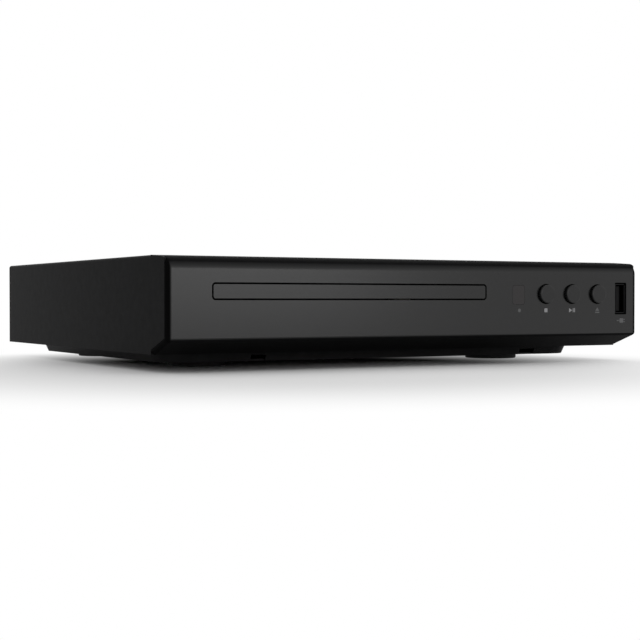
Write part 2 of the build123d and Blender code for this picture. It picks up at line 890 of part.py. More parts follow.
with BuildPart() as usb_tongue:
    with BuildSketch(upright(usb_back_y)):
        with Locations((usb_x, usb_z)):
            Rectangle(usb_shell_width - 2 * usb_shell_wall, usb_shell_height - 2 * usb_shell_wall)
    extrude(amount=usb_back_block)
    with BuildSketch(upright(usb_back_y)):
        with Locations((usb_x + usb_tongue_offset, usb_z)):
            Rectangle(usb_tongue_thickness, usb_tongue_height)
    extrude(amount=usb_shell_length - usb_tongue_inset)
save(usb_tongue, "usb_tongue")

# Rear panel, with cut-outs for its sockets, vents and the cover's screws
rear_vent_x = rear_vent_left_margin + rear_vent_pitch * (rear_vent_count - 1) / 2 - side_x
with BuildPart() as rear_panel:
    block((-inner_x, inner_x), (panel_inner_y, panel_y), (plate_z, cover_inner_z))
    with BuildSketch(upright(panel_y)):
        with Locations(*jack_places):
            Circle(jack_radius + jack_hole_gap)
        with Locations((hdmi_x, hdmi_z)):
            Rectangle(hdmi_width + 2 * hdmi_gap, hdmi_height + 2 * hdmi_gap)
        with Locations((inlet_x, inlet_z)):
            Rectangle(inlet_width + 2 * inlet_gap, inlet_height + 2 * inlet_gap)
        with Locations((rear_vent_x, body_z + rear_vent_height_middle)):
            with GridLocations(rear_vent_pitch, rear_vent_height, rear_vent_count, 1):
                SlotOverall(rear_vent_height, rear_vent_width, rotation=90)
        with Locations(*cover_screw_places):
            Circle(screw_hole_radius)
    extrude(amount=panel_sheet, mode=Mode.SUBTRACT)
save(rear_panel, "rear_panel")

screws("cover_screws", facing_back(rear_y), cover_screw_places, screw_length)

# Audio and video jacks: a housing on the board, shells through the panel, insulators inside them
with BuildPart() as jack_housing:
    block((bay_left_x, jack_right_x), (panel_inner_y - jack_housing_depth, panel_inner_y),
          (board_top_z, board_top_z + 2 * jack_pitch))
save(jack_housing, "jack_housing")

with BuildPart() as jack_shells:
    with BuildSketch(upright(panel_inner_y)):
        with Locations(*jack_places):
            Circle(jack_radius)
            Circle(jack_radius - jack_wall, mode=Mode.SUBTRACT)
    extrude(amount=-(panel_sheet + jack_length))
save(jack_shells, "jack_shells")

with BuildPart() as jack_insulators:
    with BuildSketch(upright(panel_inner_y)):
        with Locations(*jack_places):
            Circle(jack_radius - jack_wall - jack_fit)
            Circle(jack_bore_radius, mode=Mode.SUBTRACT)
    extrude(amount=-(panel_sheet + jack_length - jack_inset))
save(jack_insulators, "jack_insulators")

# HDMI socket
hdmi_mouth_y = panel_y + hdmi_proud
with BuildPart() as hdmi_shell:
    with BuildSketch(upright(hdmi_mouth_y)) as hdmi_outline:
        with Locations((hdmi_x, hdmi_z)):
            Rectangle(hdmi_width, hdmi_height)
        chamfer(hdmi_outline.vertices().group_by(Axis.Y)[0], hdmi_chamfer)
        offset(amount=-hdmi_wall, mode=Mode.SUBTRACT)
    extrude(amount=hdmi_length)
save(hdmi_shell, "hdmi_shell")

with BuildPart() as hdmi_tongue:
    with BuildSketch(upright(hdmi_mouth_y - hdmi_length)) as hdmi_core:
        with Locations((hdmi_x, hdmi_z)):
            Rectangle(hdmi_width, hdmi_height)
        chamfer(hdmi_core.vertices().group_by(Axis.Y)[0], hdmi_chamfer)
        offset(amount=-hdmi_wall, mode=Mode.REPLACE)
    extrude(amount=-hdmi_back_block)
    with BuildSketch(upright(hdmi_mouth_y - hdmi_length)):
        with Locations((hdmi_x, hdmi_z)):
            Rectangle(hdmi_tongue_width, hdmi_tongue_thickness)
    extrude(amount=hdmi_tongue_inset - hdmi_length)
save(hdmi_tongue, "hdmi_tongue")

# Mains inlet for a two-pole cord
inlet_mouth_y = panel_y + inlet_proud
with BuildPart() as mains_inlet:
    block((inlet_x - inlet_width / 2, inlet_x + inlet_width / 2),
          (inlet_mouth_y - inlet_depth, inlet_mouth_y),
          (inlet_z - inlet_height / 2, inlet_z + inlet_height / 2))
    with BuildSketch(upright(inlet_mouth_y)):
        with Locations((inlet_x, inlet_z)):
            SlotOverall(inlet_opening_width, inlet_opening_height)
    extrude(amount=inlet_opening_depth, mode=Mode.SUBTRACT)
save(mains_inlet, "mains_inlet")

with BuildPart() as inlet_pins:
    with BuildSketch(upright(inlet_mouth_y - inlet_opening_depth)):
        with Locations((inlet_x - inlet_pin_pitch / 2, inlet_z), (inlet_x + inlet_pin_pitch / 2, inlet_z)):
            Circle(inlet_pin_radius)
    extrude(amount=inlet_pin_inset - inlet_opening_depth)
    fillet(inlet_pins.edges().group_by(Axis.Y)[-1], inlet_pin_radius / 2)
save(inlet_pins, "inlet_pins")

# Main board and what it carries
main_x = (bay_left_x + main_right_x) / 2
chip_y = boards_front_y + chip_reach
memory_y = chip_y + chip_size / 2 + memory_gap + memory_width / 2
connector_y = boards_front_y + connector_gap
with BuildPart() as main_board:
    block((bay_left_x, main_right_x), (boards_front_y, boards_back_y), (board_z, board_top_z))
    with BuildSketch(level(board_z)):
        with Locations(*board_screw_places):
            Circle(screw_hole_radius)
    extrude(amount=board_thickness, mode=Mode.SUBTRACT)
save(main_board, "main_board")

with BuildPart() as main_chips:
    with BuildSketch(level(board_top_z)):
        with Locations((main_x, chip_y)):
            Rectangle(chip_size, chip_size)
        with Locations((main_x, memory_y)):
            Rectangle(memory_length, memory_width)
    extrude(amount=memory_height)
    with BuildSketch(level(board_top_z + memory_height)):
        with Locations((main_x, chip_y)):
            Rectangle(chip_size, chip_size)
    extrude(amount=chip_height - memory_height)
save(main_chips, "main_chips")

sink_z = board_top_z + chip_height
with BuildPart() as heat_sink:
    with BuildSketch(level(sink_z)):
        with Locations((main_x, chip_y)):
            Rectangle(chip_size, chip_size)
    extrude(amount=sink_base)
    with BuildSketch(level(sink_z + sink_base)):
        with Locations((main_x, chip_y)):
            with GridLocations((chip_size - fin_thickness) / (fin_count - 1), chip_size, fin_count, 1):
                Rectangle(fin_thickness, chip_size)
    extrude(amount=sink_height - sink_base)
save(heat_sink, "heat_sink")

with BuildPart() as board_connectors:
    with BuildSketch(level(board_top_z)):
        with Locations((main_x, connector_y), (main_x, memory_y + memory_width + connector_width)):
            Rectangle(connector_length, connector_width)
    extrude(amount=connector_height)
save(board_connectors, "board_connectors")

# Flat ribbon from the main board's front connector to the back of the front board
ribbon_low_z = board_top_z + connector_height
with BuildPart() as front_ribbon:
    with BuildSketch(flank(main_x - ribbon_width / 2)):
        with BuildLine():
            FilletPolyline((connector_y, ribbon_low_z), (connector_y, ribbon_low_z + ribbon_rise),
                           (front_board_back_y, ribbon_low_z + ribbon_rise), radius=ribbon_bend)
        trace(line_width=ribbon_thickness)
    extrude(amount=ribbon_width)
save(front_ribbon, "front_ribbon")

# Power board with its transformer and capacitors
transformer_y = boards_front_y + transformer_reach
transformer_top_z = board_top_z + transformer_height
with BuildPart() as power_board:
    block((power_left_x, bay_right_x), (boards_front_y, boards_back_y), (board_z, board_top_z))
    with BuildSketch(level(board_z)):
        with Locations(*board_screw_places):
            Circle(screw_hole_radius)
    extrude(amount=board_thickness, mode=Mode.SUBTRACT)
save(power_board, "power_board")

with BuildPart() as transformer:
    with BuildSketch(level(board_top_z)):
        with Locations((inlet_x, transformer_y)):
            Rectangle(transformer_width, transformer_length)
    extrude(amount=transformer_height)
    for side in (-1, 1):
        core_depth = transformer_length * (1 - transformer_core_share) / 2
        core_y = transformer_y + side * (transformer_length - core_depth) / 2
        block((inlet_x - transformer_width / 2, inlet_x + transformer_width / 2),
              (core_y - core_depth / 2, core_y + core_depth / 2),
              (transformer_top_z - transformer_step, transformer_top_z), mode=Mode.SUBTRACT)
save(transformer, "transformer")

capacitor_places = [(inlet_x, boards_front_y + capacitor_reach + index * capacitor_pitch)
                    for index in range(capacitor_count)]
with BuildPart() as capacitors:
    with BuildSketch(level(board_top_z)):
        with Locations(*capacitor_places):
            Circle(capacitor_radius)
    extrude(amount=capacitor_height)
    fillet(capacitors.edges().group_by(Axis.Z)[-1], capacitor_rim)
save(capacitors, "capacitors")

screws("board_screws", level(board_top_z), board_screw_places, short_screw_length)

# Loader frame: side walls with ledges and keepers for the tray, a gear deck, a slider ledge and bearings
slider_ledge_top_z = slider_low_z - clearance
slider_reach_x = cam_pin_spread + cam_travel + slot_half_width + cam_margin
bearing_top_z = hinge_z + bearing_half_depth
bearing_inner = ring_half_width + bearing_gap
bearing_outer = bearing_inner + bearing_width
ledge_inner = tray_width / 2 - ledge_overlap
keeper_inner = tray_width / 2 - keeper_overlap
ledge_top_z = tray_z - clearance
keeper_z = tray_top_z + clearance
with BuildPart() as loader_frame:
    for side in (-1, 1):
        wall = sorted((loader_x + side * loader_inner, loader_x + side * loader_half))
        ledge = sorted((loader_x + side * ledge_inner, loader_x + side * loader_inner))
        keeper = sorted((loader_x + side * keeper_inner, loader_x + side * loader_inner))
        bearing = sorted((loader_x + side * bearing_inner, loader_x + side * bearing_outer))
        block(wall, (loader_front_y, loader_back_y), (loader_z, bridge_z))
        block(ledge, (loader_front_y, loader_back_y), (ledge_top_z - ledge_thickness, ledge_top_z))
        for share in keeper_shares:
            keeper_y = loader_front_y + share * loader_length
            block(keeper, (keeper_y, keeper_y + keeper_length), (keeper_z, keeper_z + keeper_thickness))
        block(bearing, (hinge_y - bearing_half_depth, hinge_y + bearing_half_depth),
              (loader_z, bearing_top_z))
    for x, y in loader_screw_places:
        block((x - loader_tab_width / 2, x + loader_tab_width / 2),
              (y - loader_tab_length / 2, y + loader_tab_length / 2),
              (loader_z, loader_z + loader_tab_thickness))
    inside = (loader_x - loader_inner, loader_x + loader_inner)
    block(inside, (loader_front_y, bay_wall_y), (deck_z - deck_thickness, deck_z))
    block(inside, (bay_wall_y - loader_wall, bay_wall_y), (slider_ledge_top_z - slider_ledge, deck_z))
    block((loader_x - slider_reach_x, loader_x + slider_reach_x), (bay_wall_y, slider_back_y),
          (slider_ledge_top_z - slider_ledge, slider_ledge_top_z))
    block(inside, (hinge_y - bearing_half_depth, loader_back_y), (loader_z, loader_z + deck_thickness))
    with BuildSketch(flank(loader_x - loader_inner)):
        with Locations((hinge_y, hinge_z)):
            Circle(hinge_pin_radius + running_fit)
    extrude(amount=2 * loader_inner, mode=Mode.SUBTRACT)
    with BuildSketch(level(deck_z)):
        with Locations((gear_x, gear_y)):
            Circle(post_radius)
    extrude(amount=post_top_z - deck_z)
    with BuildSketch(level(deck_z)):
        with Locations((pulley_x, gear_y)):
            Circle(post_radius)
    extrude(amount=wheel_z + wheel_height - deck_z)
    with BuildSketch(level(deck_z)):
        with Locations((motor_x, gear_y)):
            Circle(load_motor_boss_radius + seam)
    extrude(amount=-deck_thickness, mode=Mode.SUBTRACT)
    with BuildSketch(level(loader_z)):
        with Locations(*loader_screw_places):
            Circle(screw_hole_radius)
    extrude(amount=loader_tab_thickness, mode=Mode.SUBTRACT)
save(loader_frame, "loader_frame")

screws("loader_screws", level(loader_z + loader_tab_thickness), loader_screw_places, short_screw_length)

# Clamp bridge across the loader's walls, and the puck that hangs in it
bridge_top_z = bridge_z + bridge_thickness
with BuildPart() as clamp_bridge:
    with BuildSketch(level(bridge_z)):
        with Locations((loader_x, spindle_y)):
            Rectangle(2 * loader_half, bridge_depth)
            Circle(bridge_ring_radius)
            Circle(bridge_hole_radius, mode=Mode.SUBTRACT)
    extrude(amount=bridge_thickness)
    for y in (spindle_y - bridge_depth / 2, spindle_y + bridge_depth / 2 - bridge_thickness):
        block((loader_x - loader_half, loader_x + loader_half), (y, y + bridge_thickness),
              (bridge_top_z, bridge_top_z + bridge_thickness))
save(clamp_bridge, "clamp_bridge")

puck_top_z = bridge_z - clearance
flange_z = bridge_top_z + clearance
with BuildPart() as clamp_puck:
    for radius, low_z, high_z in ((puck_radius, puck_top_z - puck_disc, puck_top_z),
                                  (puck_hub_radius, puck_top_z, flange_z),
                                  (puck_flange_radius, flange_z, flange_z + puck_flange)):
        with BuildSketch(level(low_z)):
            with Locations((loader_x, spindle_y)):
                Circle(radius)
        extrude(amount=high_z - low_z)
    with BuildSketch(level(puck_top_z - puck_disc)):
        with Locations((loader_x, spindle_y)):
            Circle(puck_recess_radius)
    extrude(amount=puck_recess, mode=Mode.SUBTRACT)
save(clamp_puck, "clamp_puck")

# Disc tray with its recesses, pickup opening and rack, and the door on its front
with BuildPart() as disc_tray:
    with BuildSketch(level(tray_z)) as tray_plan:
        with Locations((loader_x, tray_front_y)):
            Rectangle(tray_width, tray_length, align=(Align.CENTER, Align.MIN))
        fillet(tray_plan.vertices().group_by(Axis.Y)[-1], tray_corner)
    extrude(amount=tray_thickness)
    block((loader_x - tray_width / 2 + tray_rail, loader_x + tray_width / 2 - tray_rail),
          (tray_front_y + tray_front_rim, tray_back_y + overrun), (tray_z, floor_bottom_z),
          mode=Mode.SUBTRACT)
    with BuildSketch(level(tray_top_z)):
        with Locations((loader_x, spindle_y)):
            Circle(disc_radius + disc_gap)
    extrude(amount=-recess_depth, mode=Mode.SUBTRACT)
    with BuildSketch(level(tray_top_z - recess_depth)):
        with Locations((loader_x, spindle_y)):
            Circle(small_disc_radius + disc_gap)
    extrude(amount=-small_recess_depth, mode=Mode.SUBTRACT)
    with BuildSketch(level(tray_top_z)):
        with Locations((loader_x, spindle_y)):
            Circle(hub_opening_radius)
        with Locations((loader_x, spindle_y)):
            Rectangle(pickup_slot_width, pickup_slot_reach, align=(Align.CENTER, Align.MIN))
    extrude(amount=-tray_thickness, mode=Mode.SUBTRACT)
    with BuildSketch(level(tray_top_z)):
        with Locations((loader_x, spindle_y - disc_radius), (loader_x, spindle_y + disc_radius)):
            Circle(finger_radius)
    extrude(amount=-recess_depth, mode=Mode.SUBTRACT)
    with BuildSketch(level(tray_z)):
        with BuildLine():
            Polyline(*rack_outline(rack_x, loader_x + tray_width / 2 - tray_rail, rack_module,
                                   gear_y - rack_overlap, gear_y + tray_travel + rack_overlap, gear_y),
                     close=True)
        make_face()
    extrude(amount=floor_bottom_z - tray_z)
save(disc_tray, "disc_tray")

with BuildPart() as tray_door:
    with BuildSketch(upright(front_y)):
        with Locations((loader_x, door_z)):
            RectangleRounded(door_width, door_height, door_corner)
    extrude(amount=-door_thickness)
save(tray_door, "tray_door")

# Tray drive: the gear that moves the rack, its pulley gear, belt, motor and motor pulley
with BuildPart() as tray_gear:
    with BuildSketch(Plane((gear_x, gear_y, wheel_z))):
        with BuildLine():
            Polyline(*gear_outline(wheel_teeth, drive_module, pi), close=True)
        make_face()
    extrude(amount=wheel_height)
    with BuildSketch(Plane((gear_x, gear_y, wheel_z + wheel_height))):
        Circle(hub_radius)
    extrude(amount=mesh_z - wheel_z - wheel_height)
    with BuildSketch(Plane((gear_x, gear_y, mesh_z))):
        with BuildLine():
            Polyline(*gear_outline(tray_gear_teeth, rack_module, 0), close=True)
        make_face()
    extrude(amount=gear_mesh_height)
    with BuildSketch(Plane((gear_x, gear_y, wheel_z))):
        Circle(post_radius + running_fit)
    extrude(amount=mesh_top_z - wheel_z, mode=Mode.SUBTRACT)
save(tray_gear, "tray_gear")

groove_top = pulley_height - pulley_flange
with BuildPart() as pulley_gear:
    for radius, low, high in ((pulley_radius, 0, pulley_flange),
                              (pulley_radius - groove_depth, pulley_flange, groove_top),
                              (pulley_radius, groove_top, pulley_height)):
        with BuildSketch(Plane((pulley_x, gear_y, pulley_z + low))):
            Circle(radius)
        extrude(amount=high - low)
    with BuildSketch(Plane((pulley_x, gear_y, pulley_z + pulley_height))):
        with BuildLine():
            Polyline(*gear_outline(pinion_teeth, drive_module, pi / pinion_teeth), close=True)
        make_face()
    extrude(amount=wheel_z + wheel_height - pulley_z - pulley_height)
    with BuildSketch(Plane((pulley_x, gear_y, pulley_z))):
        Circle(post_radius + running_fit)
    extrude(amount=wheel_z + wheel_height - pulley_z, mode=Mode.SUBTRACT)
save(pulley_gear, "pulley_gear")

motor_top_z = deck_z - deck_thickness
motor_boss_z = deck_z + seam
with BuildPart() as motor_pulley:
    for radius, low, high in ((motor_pulley_radius, 0, pulley_flange),
                              (motor_pulley_radius - groove_depth, pulley_flange, groove_top),
                              (motor_pulley_radius, groove_top, pulley_height)):
        with BuildSketch(Plane((motor_x, gear_y, pulley_z + low))):
            Circle(radius)
        extrude(amount=high - low)
    with BuildSketch(Plane((motor_x, gear_y, pulley_z))):
        Circle(motor_shaft_radius)
    extrude(amount=motor_top_z - pulley_z - motor_shaft_reach)
save(motor_pulley, "motor_pulley")

with BuildPart() as loading_motor:
    with BuildSketch(level(motor_top_z)):
        with Locations((motor_x, gear_y)):
            Circle(load_motor_radius)
    extrude(amount=-load_motor_height)
    fillet(loading_motor.edges(), load_motor_edge)
    with BuildSketch(level(motor_top_z)):
        with Locations((motor_x, gear_y)):
            Circle(load_motor_boss_radius)
    extrude(amount=motor_boss_z - motor_top_z)
    with BuildSketch(level(motor_boss_z)):
        with Locations((motor_x, gear_y)):
            Circle(motor_shaft_radius + running_fit)
    bore_end_z = motor_top_z - motor_shaft_reach - motor_shaft_end_gap
    extrude(amount=bore_end_z - motor_boss_z, mode=Mode.SUBTRACT)
save(loading_motor, "loading_motor")

belt_z = pulley_z + (pulley_height - belt_height) / 2
with BuildPart() as drive_belt:
    for grow, mode in ((belt_gap + belt_thickness, Mode.ADD), (belt_gap, Mode.SUBTRACT)):
        with BuildSketch(level(belt_z)):
            with Locations((pulley_x, gear_y)):
                Circle(pulley_radius - groove_depth + grow)
            with Locations((motor_x, gear_y)):
                Circle(motor_pulley_radius - groove_depth + grow)
            make_hull()
        extrude(amount=belt_height, mode=mode)
save(drive_belt, "drive_belt")

# Lifter frame: a ring on two hinge pins at its back, with cam pins at its front
grommet_u = ring_half_width - grommet_inset
grommet_places = [(side * grommet_u, -v) for side in (-1, 1)
                  for v in (ring_front - ring_front_bar / 2, ring_back_bar / 2 - ring_back_reach)]
ring_face = Plane(origin=deck.from_local_coords((0, -ring_front, cam_pin_height)), x_dir=deck.x_dir,
                  z_dir=-deck.y_dir)
with BuildPart() as lifter_frame:
    with BuildSketch(deck.offset(ring_bottom)):
        with Locations((0, (ring_back_reach - ring_front) / 2)):
            RectangleRounded(2 * ring_half_width, ring_front + ring_back_reach, ring_bar)
        with Locations((0, (ring_back_reach - ring_back_bar - ring_front + ring_front_bar) / 2)):
            RectangleRounded(2 * (ring_half_width - ring_bar),
                             ring_front - ring_front_bar + ring_back_reach - ring_back_bar, ring_bar,
                             mode=Mode.SUBTRACT)
        with Locations(*grommet_places):
            Circle(screw_hole_radius, mode=Mode.SUBTRACT)
    extrude(amount=ring_height)
    for side in (-1, 1):
        with BuildSketch(flank(loader_x + side * (ring_half_width - ring_bar / 2))):
            with Locations((hinge_y, hinge_z)):
                Circle(hinge_pin_radius)
        extrude(amount=side * (hinge_pin_length + ring_bar / 2))
    with BuildSketch(ring_face):
        with Locations((-cam_pin_spread, 0), (cam_pin_spread, 0)):
            Circle(cam_pin_radius)
    extrude(amount=slider_gap + slider_thickness - clearance)
save(lifter_frame, "lifter_frame")

with BuildPart() as damper_grommets:
    with BuildSketch(deck.offset(ring_top)):
        with Locations(*grommet_places):
            Circle(grommet_radius)
            Circle(screw_hole_radius, mode=Mode.SUBTRACT)
    extrude(amount=grommet_height)
save(damper_grommets, "damper_grommets")

# Traverse plate with holders for the guide rods and a post for the sled's gear
rod_places = [(side * rod_spread, -v) for side in (-1, 1)
              for v in (rod_front - rod_holder_length / 2, rod_front - rod_length + rod_holder_length / 2)]
rod_face = Plane(origin=deck.from_local_coords((0, -rod_front, rod_height)), x_dir=deck.x_dir,
                 z_dir=deck.y_dir)
plate_front = ring_front - plate_inset
plate_back = ring_back_reach - plate_inset
with BuildPart() as traverse_plate:
    with BuildSketch(deck.offset(plate_bottom)):
        with Locations((0, (plate_back - plate_front) / 2)):
            RectangleRounded(2 * (ring_half_width - plate_inset), plate_front + plate_back, ring_bar)
        with Locations((0, -(plate_slot_front + plate_slot_back) / 2)):
            Rectangle(2 * plate_slot_half_width, plate_slot_front - plate_slot_back, mode=Mode.SUBTRACT)
        with Locations((0, -hinge_reach)):
            Circle(2 * spindle_shaft_radius, mode=Mode.SUBTRACT)
        with Locations((sled_motor_u, -sled_gear_reach)):
            Circle(2 * sled_shaft_radius, mode=Mode.SUBTRACT)
        with Locations(*grommet_places):
            Circle(screw_hole_radius, mode=Mode.SUBTRACT)
    extrude(amount=plate_thickness)
    with BuildSketch(deck.offset(plate_bottom)):
        with Locations(*rod_places):
            Rectangle(rod_holder_width, rod_holder_length)
    extrude(amount=-(rod_drop + rod_holder_width / 2))
    with BuildSketch(rod_face):
        with Locations((-rod_spread, 0), (rod_spread, 0)):
            Circle(rod_radius + running_fit)
    extrude(amount=rod_length, mode=Mode.SUBTRACT)
    with BuildSketch(deck.offset(plate_top)):
        with Locations((sled_gear_u, -sled_gear_reach)):
            Circle(sled_post_radius)
    extrude(amount=sled_rack_top - plate_top)
save(traverse_plate, "traverse_plate")

screws("grommet_screws", deck.offset(plate_top), grommet_places, screw_length)

with BuildPart() as guide_rods:
    with BuildSketch(rod_face):
        with Locations((-rod_spread, 0), (rod_spread, 0)):
            Circle(rod_radius)
    extrude(amount=rod_length)
save(guide_rods, "guide_rods")

# Cam slider with two sloping slots for the lifter's pins
cam_rise = pin_high_z - pin_low_z
cam_length = hypot(cam_travel, cam_rise)
cam_turn = degrees(atan2(cam_rise, -cam_travel))
slider_span = (loader_x - cam_pin_spread - cam_travel - slot_half_width - cam_margin,
               loader_x + cam_pin_spread + slot_half_width + cam_margin)
with BuildPart() as cam_slider:
    block(slider_span, (slider_front_y, slider_back_y), (slider_low_z, slider_high_z))
    with BuildSketch(upright(slider_back_y)):
        with Locations(*[(loader_x + side * cam_pin_spread - cam_travel / 2, (pin_low_z + pin_high_z) / 2)
                         for side in (-1, 1)]):
            SlotCenterToCenter(cam_length, 2 * slot_half_width, rotation=cam_turn)
    extrude(amount=slider_thickness, mode=Mode.SUBTRACT)
save(cam_slider, "cam_slider")

# Spindle motor under the plate, and the turntable with its shaft, cone and pad
spindle = (0, -hinge_reach)
with BuildPart() as spindle_motor:
    with BuildSketch(deck.offset(plate_bottom)):
        with Locations(spindle):
            Circle(spindle_motor_radius)
            Circle(spindle_shaft_radius + running_fit, mode=Mode.SUBTRACT)
    extrude(amount=-spindle_motor_height)
save(spindle_motor, "spindle_motor")

hub_bottom = plate_top + turntable_hub_gap
with BuildPart() as turntable:
    for radius, low, high in ((spindle_shaft_radius, plate_bottom - spindle_motor_height / 2, hub_bottom),
                              (turntable_hub_radius, hub_bottom, turntable_top - turntable_thickness),
                              (turntable_radius, turntable_top - turntable_thickness, turntable_top)):
        with BuildSketch(deck.offset(low)):
            with Locations(spindle):
                Circle(radius)
        extrude(amount=high - low)
    for radius, height in ((cone_base_radius, turntable_top),
                           (cone_tip_radius, turntable_top + cone_height)):
        with BuildSketch(deck.offset(height)):
            with Locations(spindle):
                Circle(radius)
    loft()
save(turntable, "turntable")

with BuildPart() as turntable_pad:
    with BuildSketch(deck.offset(turntable_top)):
        with Locations(spindle):
            Circle(pad_outer_radius)
            Circle(pad_inner_radius, mode=Mode.SUBTRACT)
    extrude(amount=pad_height)
save(turntable_pad, "turntable_pad")

# Pickup sled on its rods, with a lens tower through the plate and a rack beside it
rack_margin = 2 * pi * sled_rack_module
with BuildPart() as pickup_sled:
    with BuildSketch(deck.offset(sled_bottom)):
        with Locations((0, (sled_back_reach - sled_front_reach) / 2 - lens_reach)):
            Rectangle(2 * sled_half_width, sled_front_reach + sled_back_reach)
    extrude(amount=sled_top - sled_bottom)
    with BuildSketch(rod_face):
        with Locations((-rod_spread, 0), (rod_spread, 0)):
            Circle(rod_radius + running_fit)
    extrude(amount=rod_length, mode=Mode.SUBTRACT)
    with BuildSketch(deck.offset(sled_top)):
        with Locations((0, -lens_reach)):
            Rectangle(2 * tower_half, 2 * tower_half)
    extrude(amount=tower_top - sled_top)
    with BuildSketch(deck.offset(tower_top)):
        with Locations((0, -lens_reach)):
            Circle(lens_holder_radius)
    extrude(amount=lens_holder_top - tower_top)
    with BuildSketch(deck.offset(sled_rack_bottom)):
        with BuildLine():
            Polyline(*rack_outline(sled_rack_offset, tower_half / 2, sled_rack_module,
                                   -sled_gear_reach - sled_travel - rack_margin,
                                   rack_margin - sled_gear_reach, -sled_gear_reach), close=True)
        make_face()
    extrude(amount=sled_rack_height)
save(pickup_sled, "pickup_sled")

with BuildPart() as pickup_lens:
    with BuildSketch(deck.offset(lens_holder_top)):
        with Locations((0, -lens_reach)):
            Circle(lens_dome_radius)
    extrude(amount=lens_dome_height)
    fillet(pickup_lens.edges().group_by(Axis(deck.origin, deck.z_dir))[-1], lens_dome_edge)
save(pickup_lens, "pickup_lens")

# Sled drive: motor under the plate, its pinion, and the gear that moves the rack
with BuildPart() as sled_motor:
    with BuildSketch(deck.offset(plate_bottom)):
        with Locations((sled_motor_u, -sled_gear_reach)):
            Circle(sled_motor_radius)
            Circle(sled_shaft_radius + running_fit, mode=Mode.SUBTRACT)
    extrude(amount=-sled_motor_height)
save(sled_motor, "sled_motor")

with BuildPart() as sled_pinion:
    with BuildSketch(deck_spot(sled_motor_u, sled_gear_reach, sled_wheel_bottom)):
        with BuildLine():
            Polyline(*gear_outline(sled_pinion_teeth, sled_wheel_module, pi - pi / sled_pinion_teeth),
                     close=True)
        make_face()
    extrude(amount=sled_wheel_top - sled_wheel_bottom)
    with BuildSketch(deck_spot(sled_motor_u, sled_gear_reach, sled_wheel_bottom)):
        Circle(sled_shaft_radius)
    extrude(amount=plate_bottom - sled_motor_height / 2 - sled_wheel_bottom)
save(sled_pinion, "sled_pinion")

with BuildPart() as sled_gear:
    with BuildSketch(deck_spot(sled_gear_u, sled_gear_reach, sled_wheel_bottom)):
        with BuildLine():
            Polyline(*gear_outline(sled_wheel_teeth, sled_wheel_module, 0), close=True)
        make_face()
    extrude(amount=sled_wheel_top - sled_wheel_bottom)
    with BuildSketch(deck_spot(sled_gear_u, sled_gear_reach, sled_wheel_top)):
        with BuildLine():
            Polyline(*gear_outline(sled_gear_teeth, sled_rack_module, pi), close=True)
        make_face()
    extrude(amount=sled_rack_top - sled_wheel_top)
    with BuildSketch(deck_spot(sled_gear_u, sled_gear_reach, sled_wheel_bottom)):
        Circle(sled_post_radius + running_fit)
    extrude(amount=sled_rack_top - sled_wheel_bottom, mode=Mode.SUBTRACT)
save(sled_gear, "sled_gear")
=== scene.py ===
import math

import bmesh
import bpy
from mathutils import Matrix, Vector

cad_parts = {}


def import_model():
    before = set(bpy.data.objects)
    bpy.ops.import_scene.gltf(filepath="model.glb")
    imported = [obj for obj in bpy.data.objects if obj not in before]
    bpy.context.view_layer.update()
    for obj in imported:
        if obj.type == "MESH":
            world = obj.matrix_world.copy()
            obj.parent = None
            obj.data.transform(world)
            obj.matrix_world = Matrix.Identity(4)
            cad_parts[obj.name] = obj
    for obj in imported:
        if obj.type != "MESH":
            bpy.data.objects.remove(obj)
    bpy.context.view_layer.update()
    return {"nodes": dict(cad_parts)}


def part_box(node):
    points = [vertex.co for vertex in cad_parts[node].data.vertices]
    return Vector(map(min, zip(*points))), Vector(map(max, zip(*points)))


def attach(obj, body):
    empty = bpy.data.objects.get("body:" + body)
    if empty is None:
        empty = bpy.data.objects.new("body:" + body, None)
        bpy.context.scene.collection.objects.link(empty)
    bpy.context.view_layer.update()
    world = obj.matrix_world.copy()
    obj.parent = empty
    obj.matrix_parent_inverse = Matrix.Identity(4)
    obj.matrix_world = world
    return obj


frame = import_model()
nodes = frame["nodes"]
MM = 0.001


def middle(node):
    low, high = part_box(node)
    return (low + high) / 2


# Materials

class Nodes:
    """A shader tree, with short ways to add nodes to it and to link them."""

    def __init__(self, tree):
        self.tree = tree

    def node(self, kind, values=None, **settings):
        made = self.tree.nodes.new(kind)
        for key, value in settings.items():
            setattr(made, key, value)
        for key, value in (values or {}).items():
            made.inputs[key].default_value = value
        return made

    def link(self, source, target):
        self.tree.links.new(source, target)

    def calculate(self, operation, *sources):
        made = self.node("ShaderNodeMath", operation=operation)
        for source, socket in zip(sources, made.inputs):
            self.link(source, socket)
        return made.outputs["Value"]

    def spread(self, source, low, high, start=0.3, end=0.7, **settings):
        """The source's values from start to end, brought to low to high."""
        values = {"From Min": start, "From Max": end, "To Min": low, "To Max": high}
        made = self.node("ShaderNodeMapRange", values, **settings)
        self.link(source, made.inputs["Value"])
        return made.outputs["Result"]

    def shown(self):
        """1 for a ray from the camera, off a mirror or through glass."""
        path = self.node("ShaderNodeLightPath").outputs
        mirrored = self.calculate("MAXIMUM", path["Is Camera Ray"], path["Is Glossy Ray"])
        return self.calculate("MAXIMUM", mirrored, path["Is Transmission Ray"])


